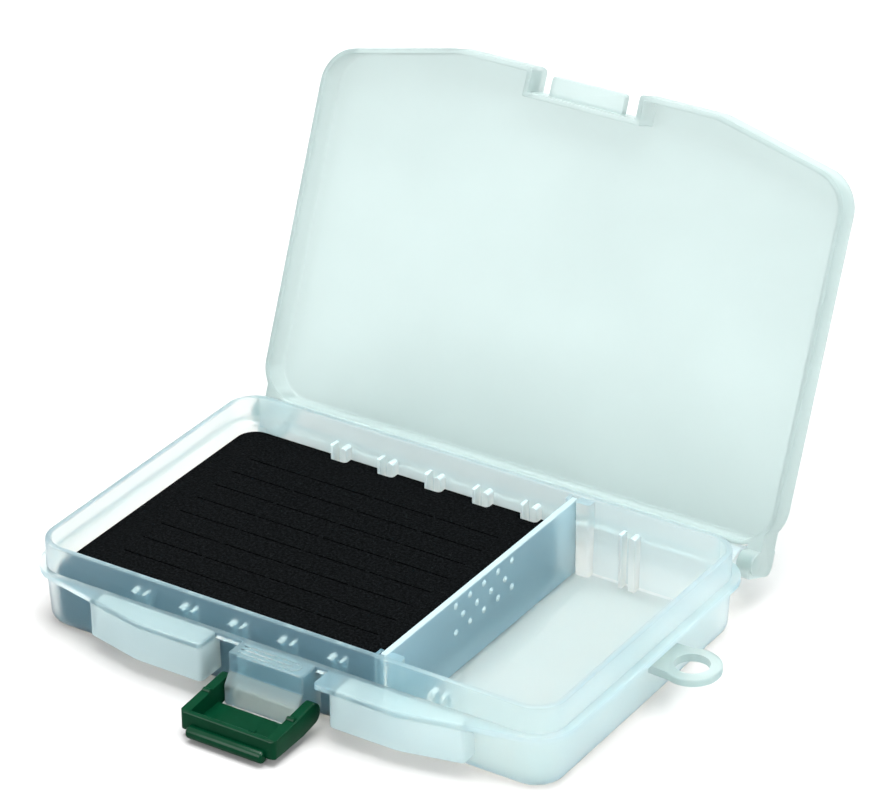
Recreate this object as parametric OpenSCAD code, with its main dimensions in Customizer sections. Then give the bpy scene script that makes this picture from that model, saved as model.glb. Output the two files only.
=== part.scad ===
// Pocket fly box: a frosted tray with a hinged lid, a front latch, a loose divider and a slit foam sheet.
// Millimetres. +X runs along the hinge, +Y points to the hinge side, +Z is up.
// The origin is on the underside, in the middle of the tray's rim. The lid is drawn open, as it stands on its stop.

/* [Tray] */
// Width of the flange and of the lid, along the hinge
case_w = 146; // [130:1:170]
// Depth of the tray's rim, front to rear, outside
tray_d = 87.5; // [76:0.5:105]
// Height of the rim's top edge
rim_z = 21.8; // [19:0.1:30]
// Wall of the tray
tray_wall = 1.5; // [1.1:0.1:2]
// Thickness of the tray's floor
floor_t = 1.5; // [1:0.1:2.5]
// Radius of the rim's vertical corners, outside
tray_corner_r = 7.6; // [5:0.1:12]
// Draft: how far each wall leans in at the underside
draft = 0.6; // [0:0.1:1]
// Radius of the rounded edge round the underside
base_edge_r = 2.5; // [1:0.1:3.5]

/* [Flange] */
// Height of the flange's top face, the ledge that the lid stands on
flange_z = 15; // [13:0.1:17]
// Thickness of the flange
flange_t = 1.5; // [1:0.1:2]
// How far the flange stands out from the rim at the sides and the rear
flange_over = 2.2; // [2.2:0.1:4]
// How far the bowed front shelf stands out from the rim in the middle
bow = 7.75; // [7:0.05:10]
// Length of the bow's straight middle stretch
bow_flat = 72; // [60:1:80]
// How far the front shelf stands out from the rim at the front corners, where its slanted stretches end
bow_end = 1.75; // [1.75:0.05:4]
// Radius that softens the bow's two kinks
bow_kink_r = 14; // [8:1:30]

/* [Skirts] */
// Height of the skirts' lower edge
skirt_z = 4.5; // [2:0.1:8]
// Distance from the middle to the skirts' inner ends
skirt_x0 = 17.4; // [17.2:0.1:22]
// Distance from the middle to the skirts' outer ends
skirt_x1 = 51.5; // [45:0.5:60]
// How far the skirts' faces lie behind the flange's edge
skirt_back = 0.2; // [0.1:0.1:0.6]
// Wall of the skirts
skirt_wall = 1.5; // [1.1:0.1:2]

/* [Catch block] */
// Width of the block that carries the latch
block_w = 20.4; // [18:0.1:21]
// Wall of the block
block_wall = 1.6; // [1.2:0.1:2]
// Depth of the block's upper part in front of the rim
block_d = 6.75; // [6:0.05:7]
// How far the block's foot stands out in front of its upper part
foot_out = 2.2; // [1.5:0.1:2.4]
// Height of the underside of the block's foot
foot_z = 2.2; // [2:0.1:2.6]
// Height of the foot's upper edge
foot_top_z = 7.2; // [7:0.1:8]
// Height where the slope above the foot meets the upper part
slope_top_z = 10.2; // [9.5:0.1:11]
// Number of raised lines on the block's top
block_lines = 3; // [1:1:3]

/* [Lid] */
// Height of the lid, from its open edge to its outer face
lid_h = 8.2; // [8.2:0.1:12]
// Thickness of the lid's top plate
lid_top_t = 1.2; // [0.9:0.05:1.2]
// Wall of the lid
lid_wall = 1.3; // [0.9:0.05:1.6]
// Radius of the lid's rounded outer edge
lid_edge_r = 2; // [1:0.1:3]
// Angle that the lid opens to, from closed
lid_open = 112; // [95:1:115]
// Gap between the closed lid's edge and the flange
lid_seat_gap = 0.1; // [0.05:0.05:0.3]
// Room between the latch and each side of the notch in the lid's front
notch_room = 2.1; // [1:0.1:3]
// Thickness of the tab
tab_t = 2.6; // [1.8:0.1:2.8]
// Width of the tab front to rear, from the notch's wall
tab_reach = 5.05; // [4.6:0.05:5.4]

/* [Hinge] */
// Distance of the hinge axis behind the flange's rear edge
hinge_back = 3.05; // [3:0.05:3.6]
// Height of the hinge axis
hinge_z = 13.2; // [12.5:0.1:13.6]
// Radius of the hinge pins
pin_r = 1.6; // [1.2:0.05:1.8]
// Length of each hinge pin
pin_l = 3.4; // [2.4:0.1:3.4]
// Gap round a pin in its hole, on the radius
pin_gap = 0.05; // [0.03:0.01:0.08]
// Radius of the base lugs that carry the pins
lug_r = 2.75; // [2.4:0.05:2.85]
// Thickness of each base lug
lug_t = 5.8; // [4:0.1:7]
// Thickness of each of the lid's ears
ear_t = 3.8; // [3.5:0.1:4.2]
// Distance of the ears' outer faces inward of the lid's sides
ear_inset = 2; // [1.8:0.1:3]
// Gap between an ear and its lug
ear_gap = 0.4; // [0.2:0.05:0.6]
// How far an ear reaches behind the hinge axis
ear_back = 3.7; // [3.2:0.1:4.2]
// How far an ear reaches below the hinge axis
ear_down = 2.7; // [2.6:0.05:3]
// Radius of the round boss on each ear
boss_r = 2.6; // [2.2:0.1:3]
// Height of the round boss on each ear
boss_t = 0.5; // [0.3:0.1:0.8]

/* [Latch] */
// Gap between each arm of the latch and the block
arm_gap = 0.3; // [0.2:0.05:0.5]
// Distance of the latch's front face from its axis
latch_l = 15.8; // [15.8:0.05:16.4]
// Height of the latch's axis
latch_z = 5.6; // [5.4:0.05:5.8]
// Distance of the latch's axis behind the block's foot
latch_in = 2.4; // [2.2:0.05:2.6]
// Thickness of each arm
arm_t = 2.5; // [2:0.1:2.5]
// Radius of the arms' round ends
arm_r = 2.8; // [2.4:0.05:2.9]
// Height of the hook wall's top above the axis
hook_h = 1.2; // [1:0.05:1.4]
// Thickness of the hook wall
hook_t = 1.6; // [1.4:0.05:1.6]
// Thickness of the latch's floor plate
plate_t = 1.4; // [1:0.1:1.6]
// Distance of the floor plate's underside below the axis
plate_down = 3.5; // [3.3:0.05:3.6]
// Distance of the floor plate's rear edge from the axis
plate_near = 4.2; // [4.2:0.1:5]
// Radius of the finger bar
bar_r = 1.6; // [1.2:0.1:1.7]
// Length of the finger bar
bar_l = 20.7; // [16:0.1:24]
// Radius of the latch's stub pins
stub_r = 1.4; // [1:0.05:1.5]
// Length of the latch's stub pins
stub_l = 2; // [1.4:0.1:2]

/* [Slots and divider] */
// Distance between neighbouring slots
rib_pitch = 13.7; // [12:0.1:18]
// Number of slots on each side of the middle one
rib_pairs = 3; // [1:1:3]
// Which slot, counted from the middle one, holds the divider
divider_slot = 2; // [1:1:2]
// How far the divider's slot lies inward of the even spacing
slot_shift = 1.3; // [0:0.1:1.5]
// How far the slot ribs stand out from the wall
rib_out = 2; // [1.5:0.1:3]
// Width of the thin rib of each slot
rib_thin = 0.9; // [0.7:0.05:1.2]
// Width of the rounded rib of each slot
rib_round = 1.8; // [1.4:0.1:2.2]
// Height of the short ribs above the flange's top face
rib_above = 1.2; // [0.5:0.1:2]
// Width of the tall post beside the divider
post_w = 4; // [3:0.1:5]
// Thickness of the divider
divider_t = 1.6; // [1.2:0.05:2]
// Gap between the divider and each side of its slot
slot_gap = 0.15; // [0.1:0.05:0.3]
// Distance of the divider's top edge below the rim
divider_low = 0.3; // [0.3:0.1:3]
// Radius of the divider's bumps
bump_r = 0.9; // [0.6:0.05:1.1]
// Height of the divider's bumps
bump_h = 0.45; // [0.2:0.05:0.6]
// Distance between the divider's bumps along a row
bump_pitch = 6.05; // [5:0.05:7]
// Distance between the rows of bumps
bump_row = 3.55; // [3:0.05:4]

/* [Foam] */
// Thickness of the foam sheet
foam_t = 11.1; // [6:0.1:12]
// Gap between the foam sheet's right edge and the divider
foam_short = 3.8; // [0.5:0.1:12]
// Gap between the foam sheet and the tray's walls and ribs
foam_gap = 0.3; // [0.2:0.05:0.5]
// Radius of the foam sheet's corners
foam_corner_r = 5; // [3:0.5:12]

/* [Lanyard ring] */
// Radius of the ring's hole
ring_bore_r = 4.2; // [3:0.1:6]
// Width of the ring's band
ring_band = 2.8; // [1.5:0.1:3.5]
// Thickness of the ring
ring_t = 2; // [1.5:0.1:2.5]
// Height of the ring's top face
ring_z = 11.4; // [7:0.1:13]
// Distance of the ring's centre behind the middle of the tray
ring_y = 5.8; // [-10:0.1:12]
// Gap between the ring's hole and the tray's wall
ring_stand = 3.8; // [2:0.1:5]

/* [Hidden] */
$fn = 48;
eps = 0.01;
arc_steps = 8;
frosted = [0.86, 0.92, 0.91, 0.75];
bottle_green = [0.09, 0.33, 0.22];
foam_black = [0.07, 0.07, 0.08];

// Tray: the rim's half sizes, the centres of its corner arcs and the corner radius at the underside
half_w = case_w / 2;
rim_hx = half_w - flange_over;
rim_hy = tray_d / 2;
corner_x = rim_hx - tray_corner_r;
corner_y = rim_hy - tray_corner_r;
base_corner_r = tray_corner_r - draft;
inner_hx = rim_hx - tray_wall;
inner_hy = rim_hy - tray_wall;
floor_hx = inner_hx - draft;
floor_hy = inner_hy - draft;
floor_edge_r = 0.4;

// Flange and lid share one outline
front_y = -rim_hy - bow;
rear_y = rim_hy + flange_over;
outline_r = tray_corner_r + flange_over;
bow_slope = (bow - bow_end) / (corner_x - bow_flat / 2);
side_front_y = front_y + bow_slope * (half_w - bow_flat / 2);
flange_under = flange_z - flange_t;
outline_corners = [
    [-bow_flat / 2, front_y], [bow_flat / 2, front_y], [half_w, side_front_y],
    [half_w, rear_y], [-half_w, rear_y], [-half_w, side_front_y]
];
outline_radii = [bow_kink_r, bow_kink_r, outline_r, outline_r, outline_r, outline_r];

// Catch block and latch
block_front = -rim_hy - block_d;
foot_front = block_front - foot_out;
latch_y = foot_front + latch_in;
arm_in = block_w / 2 + arm_gap;
latch_w = 2 * (arm_in + arm_t);
latch_front = latch_y - latch_l;
hook_z = latch_z + hook_h;
plate_z = latch_z - plate_down;
arm_room = 0.5;
lip_x = latch_w / 2 + arm_room;
notch_w = latch_w + 2 * notch_room;
tab_w = block_w;

// Lid, in its closed place
lid_z0 = flange_z + lid_seat_gap;
lid_z1 = lid_z0 + lid_h;
rim_room = 0.3;
notch_y = -rim_hy - rim_room - lid_wall;
hook_room = 0.2;
tab_top = latch_z + latch_l - hook_t - hook_room;

// Hinge
hinge_y = rear_y + hinge_back;
ear_x1 = half_w - ear_inset;
ear_x0 = ear_x1 - ear_t;
lug_x1 = ear_x0 - ear_gap;
lug_x0 = lug_x1 - lug_t;
ear_front_gap = 0.2;
ear_front_y = rear_y + ear_front_gap;
ear_corner_r = 2.5;
ear_root = 5;
stop_gap = 0.1;
stop_l = 4;

// Slots, divider and foam
divider_x = rib_pitch * divider_slot - slot_shift;
slot_w = divider_t + 2 * slot_gap;
divider_hy = floor_hy - slot_gap;
divider_z0 = floor_t + eps;
divider_z1 = rim_z - divider_low;
seat_gap = 0.05;
foam_x0 = -floor_hx + foam_gap;
foam_x1 = divider_x - divider_t / 2 - foam_short;
foam_hy = floor_hy - foam_gap;
foam_z0 = floor_t + seat_gap;
ring_x = rim_hx + ring_stand + ring_bore_r;
ring_r = ring_bore_r + ring_band;

// Points along an arc, both ends included
function arc(centre, r, a0, a1) = [
    for (i = [0:arc_steps]) centre + r * [cos(a0 + (a1 - a0) * i / arc_steps), sin(a0 + (a1 - a0) * i / arc_steps)]
];

function unit(v) = v / norm(v);
function turn(a) = a > 180 ? a - 360 : (a < -180 ? a + 360 : a);

// The arc that rounds corner b between neighbours a and c, drawn inset from the rounded line
function corner_arc(a, b, c, r, inset) =
    let (
        u = unit(a - b),
        v = unit(c - b),
        half = acos(u * v) / 2,
        centre = b + unit(u + v) * r / sin(half),
        start = b + u * r / tan(half) - centre,
        stop = b + v * r / tan(half) - centre,
        a0 = atan2(start[1], start[0]),
        a1 = a0 + turn(atan2(stop[1], stop[0]) - a0)
    )
    arc(centre, r - inset, a0, a1);

// A convex outline with rounded corners, moved in by inset
function rounded(corners, radii, inset = 0) =
    let (n = len(corners))
    [for (i = [0:n - 1]) each corner_arc(corners[(i + n - 1) % n], corners[i], corners[(i + 1) % n], radii[i], inset)];

module both_sides() {
    children();
    mirror([1, 0, 0]) children();
}

// Extrudes a side view drawn in (y, z) from x0 to x1
module along_x(x0, x1) {
    translate([x0, 0, 0])
        rotate([90, 0, 90])
            linear_extrude(x1 - x0)
                children();
}

// A cylinder along X at (y, z)
module rod(x0, x1, y, z, r) {
    translate([x0, y, z])
        rotate([0, 90, 0])
            cylinder(r = r, h = x1 - x0);
}

// A pan with rounded vertical corners. The edge runs upward as (distance from the corner's centre, z).
module pan(edge) {
    section = concat([[0, edge[0][1]]], edge, [[0, edge[len(edge) - 1][1]]]);
    front_rear = concat(
        [for (p = edge) [corner_y + p[0], p[1]]],
        [for (i = [len(edge) - 1:-1:0]) [-corner_y - edge[i][0], edge[i][1]]]
    );
    along_x(-corner_x, corner_x) polygon(front_rear);
    both_sides() {
        translate([corner_x, corner_y, 0])
            rotate([90, 0, 0])
                linear_extrude(2 * corner_y)
                    polygon(section);
        for (flip = [0, 1])
            mirror([0, flip, 0])
                translate([corner_x, corner_y, 0])
                    rotate_extrude(angle = 90)
                        polygon(section);
    }
}

function outer_edge() = concat(
    arc([base_corner_r - base_edge_r, base_edge_r], base_edge_r, -90, 0),
    [[tray_corner_r, flange_under], [tray_corner_r, rim_z]]
);

function inner_edge() = concat(
    arc([base_corner_r - tray_wall - floor_edge_r, floor_t + floor_edge_r], floor_edge_r, -90, 0),
    [[tray_corner_r - tray_wall, flange_under], [tray_corner_r - tray_wall, rim_z + 1]]
);

// Flange with the two gaps that let the latch's arms pass beside the block. A narrow ledge stays behind them
// and carries the wall of the lid's notch.
module flange() {
    block_hx = block_w / 2;
    gap_front = front_y - 1;
    gap_d = notch_y - gap_front;
    translate([0, 0, flange_under])
        linear_extrude(flange_t)
            difference() {
                polygon(rounded(outline_corners, outline_radii));
                translate([-skirt_x0, gap_front]) square([skirt_x0 - block_hx, gap_d]);
                translate([block_hx, gap_front]) square([lip_x - block_hx, gap_d]);
                translate([-block_hx - 1, gap_front]) square([block_w + 2, block_front - gap_front]);
            }
}

// Plan of one skirt: straight at the front, then slanting along the flange's edge to its outer end
function skirt_plan(x0, x1, front) = [
    [x0, -rim_hy + tray_wall / 2],
    [x0, front],
    [bow_flat / 2, front],
    [x1, front + bow_slope * (x1 - bow_flat / 2)],
    [x1, -rim_hy + tray_wall / 2]
];

module skirt() {
    front = front_y + skirt_back;
    translate([0, 0, skirt_z])
        linear_extrude(flange_under - skirt_z + eps)
            difference() {
                polygon(skirt_plan(skirt_x0, skirt_x1, front));
                polygon(skirt_plan(skirt_x0 + skirt_wall, skirt_x1 - skirt_wall, front + skirt_wall));
            }
}

// Block between the skirts: hollow from below, with the latch's stub pins on its sides
module catch_block() {
    hx = block_w / 2;
    back = -rim_hy + tray_wall / 2;
    line_w = 0.6;
    line_h = 0.35;
    line_pitch = (notch_y - block_front) / (block_lines + 0.5);
    difference() {
        along_x(-hx, hx)
            polygon([
                [back, foot_z], [foot_front, foot_z], [foot_front, foot_top_z],
                [block_front, slope_top_z], [block_front, flange_z], [back, flange_z]
            ]);
        along_x(-hx + block_wall, hx - block_wall)
            polygon([
                [back - tray_wall / 2, foot_z - 1], [foot_front + block_wall, foot_z - 1],
                [foot_front + block_wall, foot_top_z - block_wall / 2],
                [block_front + block_wall, slope_top_z - block_wall / 2],
                [block_front + block_wall, flange_under], [back - tray_wall / 2, flange_under]
            ]);
    }
    for (i = [0:block_lines - 1])
        translate([-hx + 2, block_front + (i + 0.5) * line_pitch, flange_z - eps])
            cube([block_w - 4, line_w, line_h + eps]);
    both_sides()
        rod(hx - eps, hx + stub_l, latch_y, latch_z, stub_r);
}

// Base lug of one hinge, its pin, and the shoulder that stops the open lid
module hinge_lug() {
    stop_r = hinge_back - stop_gap;
    tilt = lid_open - 90;
    stop_near = stop_r * [sin(tilt), cos(tilt)];
    stop_far = stop_near + stop_l * [cos(tilt), -sin(tilt)];
    along_x(lug_x0, lug_x1)
        translate([hinge_y, hinge_z])
            union() {
                circle(r = lug_r);
                polygon([[0, 0], stop_near, stop_far, [stop_far[0], -lug_r / 3], [0, -lug_r]]);
                translate([rim_hy - tray_wall / 2 - hinge_y, -lug_r])
                    square([hinge_y - rim_hy + tray_wall / 2, lug_r + flange_z - hinge_z]);
            }
    rod(lug_x1 - eps, lug_x1 + pin_l, hinge_y, hinge_z, pin_r);
}

// Flat ring for a cord on the right wall
module lanyard_ring() {
    root_w = 1.66 * ring_r;
    translate([0, 0, ring_z - ring_t])
        difference() {
            union() {
                translate([ring_x, ring_y, 0]) cylinder(r = ring_r, h = ring_t);
                translate([rim_hx - tray_wall / 2, ring_y - root_w / 2, 0])
                    cube([ring_x - rim_hx + tray_wall / 2, root_w, ring_t]);
            }
            translate([ring_x, ring_y, -1]) cylinder(r = ring_bore_r, h = ring_t + 2);
        }
}

// One slot: a thin rib and a round-topped rib on the rear wall, and the same turned about on the front wall
module slot_ribs(x) {
    top = flange_z + rib_above;
    out = rib_out + draft + tray_wall / 2;
    translate([x - slot_w / 2 - rib_thin, inner_hy - draft - rib_out, floor_t - eps])
        cube([rib_thin, out, top - floor_t + eps]);
    translate([x + slot_w / 2, inner_hy - draft - rib_out, floor_t - eps]) {
        cube([rib_round, out, top - floor_t - rib_round / 2 + eps]);
        translate([rib_round / 2, out, top - floor_t - rib_round / 2])
            rotate([90, 0, 0])
                cylinder(r = rib_round / 2, h = out);
    }
}

// The divider's slot: one thin tall rib and one broad tall post
module slot_posts(x) {
    out = rib_out + draft + tray_wall / 2;
    translate([x - slot_w / 2 - rib_thin, inner_hy - draft - rib_out, floor_t - eps])
        cube([rib_thin, out, rim_z - floor_t + eps]);
    translate([x + slot_w / 2, inner_hy - draft - rib_out, floor_t - eps])
        cube([post_w, out, rim_z - floor_t + eps]);
}

module all_slots() {
    for (k = [-rib_pairs:rib_pairs])
        if (k != divider_slot) {
            slot_ribs(k * rib_pitch);
            rotate([0, 0, 180]) slot_ribs(-k * rib_pitch);
        }
    slot_posts(divider_x);
    mirror([0, 1, 0]) slot_posts(divider_x);
}

module tray() color(frosted) {
    difference() {
        union() {
            pan(outer_edge());
            flange();
            both_sides() {
                skirt();
                hinge_lug();
            }
            catch_block();
            lanyard_ring();
        }
        pan(inner_edge());
    }
    all_slots();
}

// Side view of an ear with the lid closed: rounded round the pin, square where it runs into the lid
module ear_side() {
    r = ear_corner_r;
    low = hinge_z - ear_down;
    back = hinge_y + ear_back;
    translate([ear_front_y + r, low + r]) circle(r = r);
    translate([back - r, low + r]) circle(r = r);
    translate([back - r, lid_z1 - r]) circle(r = r);
    translate([ear_front_y, low + r]) square([back - ear_front_y, lid_h - r - low + lid_z0 - r]);
    translate([ear_front_y + r, low]) square([back - ear_front_y - 2 * r, r]);
    translate([ear_front_y, lid_z1 - r - eps]) square([back - ear_front_y - r, r + eps]);
    translate([rear_y - ear_root, lid_z0]) square([ear_root + hinge_back, lid_h - lid_edge_r / 2]);
}

module lid_shell() {
    steps = 4;
    hull() {
        linear_extrude(lid_h - lid_edge_r) polygon(rounded(outline_corners, outline_radii));
        for (i = [1:steps])
            translate([0, 0, lid_h - lid_edge_r * (1 - sin(90 * i / steps)) - eps])
                linear_extrude(eps)
                    polygon(rounded(outline_corners, outline_radii, lid_edge_r * (1 - cos(90 * i / steps))));
    }
}

// The lid, closed on the flange
module lid_closed() {
    notch_hx = notch_w / 2;
    notch_front = front_y - 1;
    hole_x1 = lug_x1 + pin_l + ear_gap / 2;
    difference() {
        union() {
            translate([0, 0, lid_z0]) lid_shell();
            both_sides() {
                along_x(ear_x0, ear_x1) ear_side();
                rod(ear_x1 - eps, ear_x1 + boss_t, hinge_y, hinge_z, boss_r);
            }
        }
        translate([0, 0, lid_z0 - 1])
            linear_extrude(lid_h - lid_top_t + 1)
                difference() {
                    polygon(rounded(outline_corners, outline_radii, lid_wall));
                    translate([-notch_hx - lid_wall, notch_front])
                        square([notch_w + 2 * lid_wall, notch_y + lid_wall - notch_front]);
                }
        translate([-notch_hx, notch_front, lid_z0 - 1])
            cube([notch_w, notch_y - notch_front, lid_h + 2]);
        both_sides()
            rod(ear_x0 - 1, hole_x1, hinge_y, hinge_z, pin_r + pin_gap);
    }
    translate([-tab_w / 2, notch_y - tab_reach, tab_top - tab_t])
        cube([tab_w, tab_reach + eps, tab_t]);
}

module lid() color(frosted) {
    translate([0, hinge_y, hinge_z])
        rotate([-lid_open, 0, 0])
            translate([0, -hinge_y, -hinge_z])
                lid_closed();
}

// Side view of an arm of the latch
module arm_side() {
    translate([latch_y, latch_z]) circle(r = arm_r);
    polygon([
        [latch_y, latch_z + arm_r], [latch_front, hook_z], [latch_front, plate_z],
        [latch_y - plate_near, plate_z], [latch_y, latch_z - arm_r]
    ]);
}

module latch() color(bottle_green) {
    hx = latch_w / 2;
    nub_r = 0.7;
    nub_at = 6.9;
    nub_up = arm_r - (arm_r - hook_h) * nub_at / latch_l;
    bar_y = latch_front - 0.3;
    bar_z = plate_z + 0.2;
    difference() {
        both_sides() {
            along_x(arm_in, hx) arm_side();
            rod(arm_in, hx, latch_y - nub_at, latch_z + nub_up - 0.1, nub_r);
        }
        both_sides()
            rod(arm_in - 1, block_w / 2 + stub_l + 0.2, latch_y, latch_z, stub_r + pin_gap);
    }
    translate([-arm_in - eps, latch_front, plate_z])
        cube([2 * arm_in + 2 * eps, latch_l - plate_near, plate_t]);
    translate([-arm_in - eps, latch_front, plate_z])
        cube([2 * arm_in + 2 * eps, hook_t, hook_z - plate_z]);
    rod(-bar_l / 2, bar_l / 2, bar_y, bar_z, bar_r);
}

// Rows of bumps on the divider's right face, the longer rows above and below the shorter one
module divider_bumps() {
    ball_r = (bump_r * bump_r + bump_h * bump_h) / (2 * bump_h);
    face_x = divider_x + divider_t / 2;
    for (row = [0:2])
        for (i = [0:(row == 1 ? 3 : 4)])
            translate([
                face_x + bump_h - ball_r,
                2 * bump_pitch - 0.4 - (row == 1 ? bump_pitch / 2 : 0) - i * bump_pitch,
                divider_z1 - 2.2 - row * bump_row
            ])
                sphere(r = ball_r, $fn = 24);
}

// The divider's lower corners are cut off to clear the rounded edge of the floor
module divider() color(frosted) {
    cut = floor_edge_r + slot_gap;
    along_x(divider_x - divider_t / 2, divider_x + divider_t / 2)
        polygon([
            [-divider_hy + cut, divider_z0], [divider_hy - cut, divider_z0], [divider_hy, divider_z0 + cut],
            [divider_hy, divider_z1], [-divider_hy, divider_z1], [-divider_hy, divider_z0 + cut]
        ]);
    intersection() {
        divider_bumps();
        translate([divider_x, -divider_hy, divider_z0 + 1])
            cube([divider_t + bump_h, 2 * divider_hy, divider_z1 - divider_z0 - 1]);
    }
}

// Cut in the foam sheet round one pair of ribs: square beside the thin rib, round beside the other
module foam_notch(x, left, right) {
    depth = rib_out + 2 * foam_gap;
    r = 1;
    x0 = x - slot_w / 2 - left - foam_gap;
    x1 = x + slot_w / 2 + right + foam_gap;
    translate([x0, foam_hy - depth + foam_gap]) square([x1 - x0 - r, depth]);
    translate([x1 - r, foam_hy - depth + foam_gap + r]) square([r, depth]);
    translate([x1 - r, foam_hy - depth + foam_gap + r]) circle(r = r, $fn = 24);
}

module foam_sheet() color(foam_black) {
    r = foam_corner_r;
    corners = [[foam_x0, -foam_hy], [foam_x1, -foam_hy], [foam_x1, foam_hy], [foam_x0, foam_hy]];
    translate([0, 0, foam_z0])
        linear_extrude(foam_t)
            difference() {
                polygon(rounded(corners, [r, r, r, r]));
                for (k = [-rib_pairs:rib_pairs])
                    if (k != divider_slot) {
                        foam_notch(k * rib_pitch, rib_thin, rib_round);
                        rotate(180) foam_notch(-k * rib_pitch, rib_thin, rib_round);
                    }
            }
}

tray();
lid();
latch();
divider();
foam_sheet();
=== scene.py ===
"""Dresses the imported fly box: frosted polypropylene shells, a green latch, a bumped divider and slit foam."""
import math

import bpy
from mathutils import Matrix, Vector


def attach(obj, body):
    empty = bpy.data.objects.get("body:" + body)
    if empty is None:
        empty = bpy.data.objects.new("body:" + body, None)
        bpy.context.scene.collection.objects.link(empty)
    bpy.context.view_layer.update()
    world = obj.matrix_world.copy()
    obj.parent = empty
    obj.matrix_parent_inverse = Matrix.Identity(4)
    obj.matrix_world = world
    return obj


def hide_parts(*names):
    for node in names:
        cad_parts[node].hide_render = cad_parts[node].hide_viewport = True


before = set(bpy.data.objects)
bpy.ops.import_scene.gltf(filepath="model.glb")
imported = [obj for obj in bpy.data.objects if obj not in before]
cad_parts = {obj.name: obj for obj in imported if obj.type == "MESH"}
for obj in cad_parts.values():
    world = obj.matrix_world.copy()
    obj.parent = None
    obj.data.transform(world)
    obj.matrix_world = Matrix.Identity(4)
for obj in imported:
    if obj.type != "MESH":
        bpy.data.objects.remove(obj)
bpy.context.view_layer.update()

MM = 0.001

# Tray, in millimetres as the solids have it
HALF_W = 73.0
RIM_X, RIM_Y, RIM_Z = 70.8, 43.75, 21.8
WALL = 1.5
RIM_ROUND = 0.35
FLOOR_T = 1.5
CORNER_R = 7.6
DRAFT = 0.6
FOOT_R = 2.5

# Outline that the flange and the lid share
FLANGE_Z, FLANGE_UNDER, FLANGE_ROUND = 15.0, 13.5, 0.45
BOW_Y, BOW_HALF = -51.5, 36.0
SIDE_Y = -43.34
REAR_Y = 45.95
OUTLINE_R = 9.8
KINK_R = 14.0
SLANT = math.atan((SIDE_Y - BOW_Y) / (HALF_W - BOW_HALF))

# Catch block, skirts and latch
BLOCK_HALF, BLOCK_Y, FOOT_Y = 10.2, -50.5, -52.7
BLOCK_Z0, FOOT_TOP, SLOPE_TOP = 2.2, 7.2, 10.2
LINE_HALF, LINE_X0, LINE_X1, LINE_H = 0.3, -8.2, 8.2, 0.35
SKIRT_X0, SKIRT_X1, SKIRT_Z, SKIRT_BACK = 17.4, 51.5, 4.5, 0.2
LIP_X = 13.5
LATCH_Y, LATCH_Z = -50.3, 5.6
LATCH_HALF, ARM_IN = 13.0, 10.5
LATCH_FRONT, LATCH_BACK = -66.1, -54.5
LATCH_LOW, LATCH_TOP = 2.1, 6.8
LATCH_PIN_R, LATCH_HOLE_R, ARM_R = 1.4, 1.45, 2.8
FINGER_HALF, FINGER_R = 10.35, 1.6

# Lid and hinge
LID_Z0, LID_Z1 = 15.1, 23.3
LID_TOP_T, LID_WALL, LID_EDGE_R = 1.2, 1.3, 2.0
NOTCH_HALF, NOTCH_Y, NOTCH_MOUTH = 15.1, -45.35, 1.0
TAB_Z0, TAB_Z1, TAB_OUT = 17.0, 19.6, 5.05
LID_OPEN = math.radians(112.0)
HINGE_Y, HINGE_Z = 49.0, 13.2
HINGE_PIN_R, HINGE_HOLE_R, HINGE_PIN_LONG = 1.6, 1.65, 3.4
LUG_X0, LUG_X1, LUG_R, STOP_R = 61.0, 66.8, 2.75, 2.95
EAR_X0, EAR_X1, EAR_Y0, EAR_ROUND = 67.2, 71.0, 40.95, 2.45

# Ring, slots, divider and foam
RING_X, RING_Y, RING_R, RING_HOLE_R = 78.8, 5.8, 7.0, 4.2
RING_TOP, RING_T, RING_ROOT = 11.4, 2.0, 5.8
RIB_PITCH = 13.7
RIB_TOP = 16.2
RIB_NEAR = 39.65
THIN_RIB, BROAD_RIB, TALL_POST = 0.9, 1.8, 4.0
SLOT_HALF = 0.95
DIVIDER_X, DIVIDER_HALF = 26.1, 0.8
DIVIDER_Y, DIVIDER_Z0, DIVIDER_Z1 = 41.5, 1.51, 21.5
DIVIDER_SLOT, DIVIDER_CUT, DIVIDER_ROUND = 2, 0.55, 0.35
BUMP_R, BUMP_OUT = 1.125, 0.45
BUMP_Y, BUMP_DOWN, BUMP_STEP_Y, BUMP_STEP_Z = 11.7, 2.2, 6.05, 3.55
FOAM_X0, FOAM_X1, FOAM_Y = -68.4, 21.5, 41.35
FOAM_Z0, FOAM_Z1, FOAM_R = 1.55, 12.65, 5.0
FOAM_NOTCH_Y, FOAM_ROOM = 39.05, 0.3
SLIT_Y, SLIT_STEP_Y, SLIT_ROWS = -30.7, 7.4, 9
SLIT_X, SLIT_STEP_X, SLIT_LONG = -59.5, 18.3, 17.3
SLIT_DEEP, SLIT_HALF = 3.5, 0.22

# The tray's finishes and its painted light and shade, in the order of its material slots
POLISHED, MILKY_PAINTED_LIGHT, FINE_SATIN, SATIN_AND_PAINTED_SHADE = range(4)


# Bench tools

def deselect():
    active = bpy.context.view_layer.objects.active
    if active and active.mode != "OBJECT":
        bpy.ops.object.mode_set(mode="OBJECT")
    bpy.ops.object.select_all(action="DESELECT")


def edit(piece, kind="VERT"):
    """Edit mode on one piece, with nothing selected."""
    deselect()
    piece.select_set(True)
    bpy.context.view_layer.objects.active = piece
    bpy.ops.object.mode_set(mode="EDIT")
    bpy.ops.mesh.select_mode(type=kind)
    bpy.ops.mesh.select_all(action="DESELECT")


def leave():
    bpy.ops.object.mode_set(mode="OBJECT")


def choose_edges(piece, test):
    """Selects the edges whose two ends, in millimetres, pass the test."""
    edit(piece, "EDGE")
    leave()
    mesh = piece.data
    for edge in mesh.edges:
        a, b = (mesh.vertices[i].co / MM for i in edge.vertices)
        edge.select = bool(test(a, b))
    bpy.ops.object.mode_set(mode="EDIT")


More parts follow.
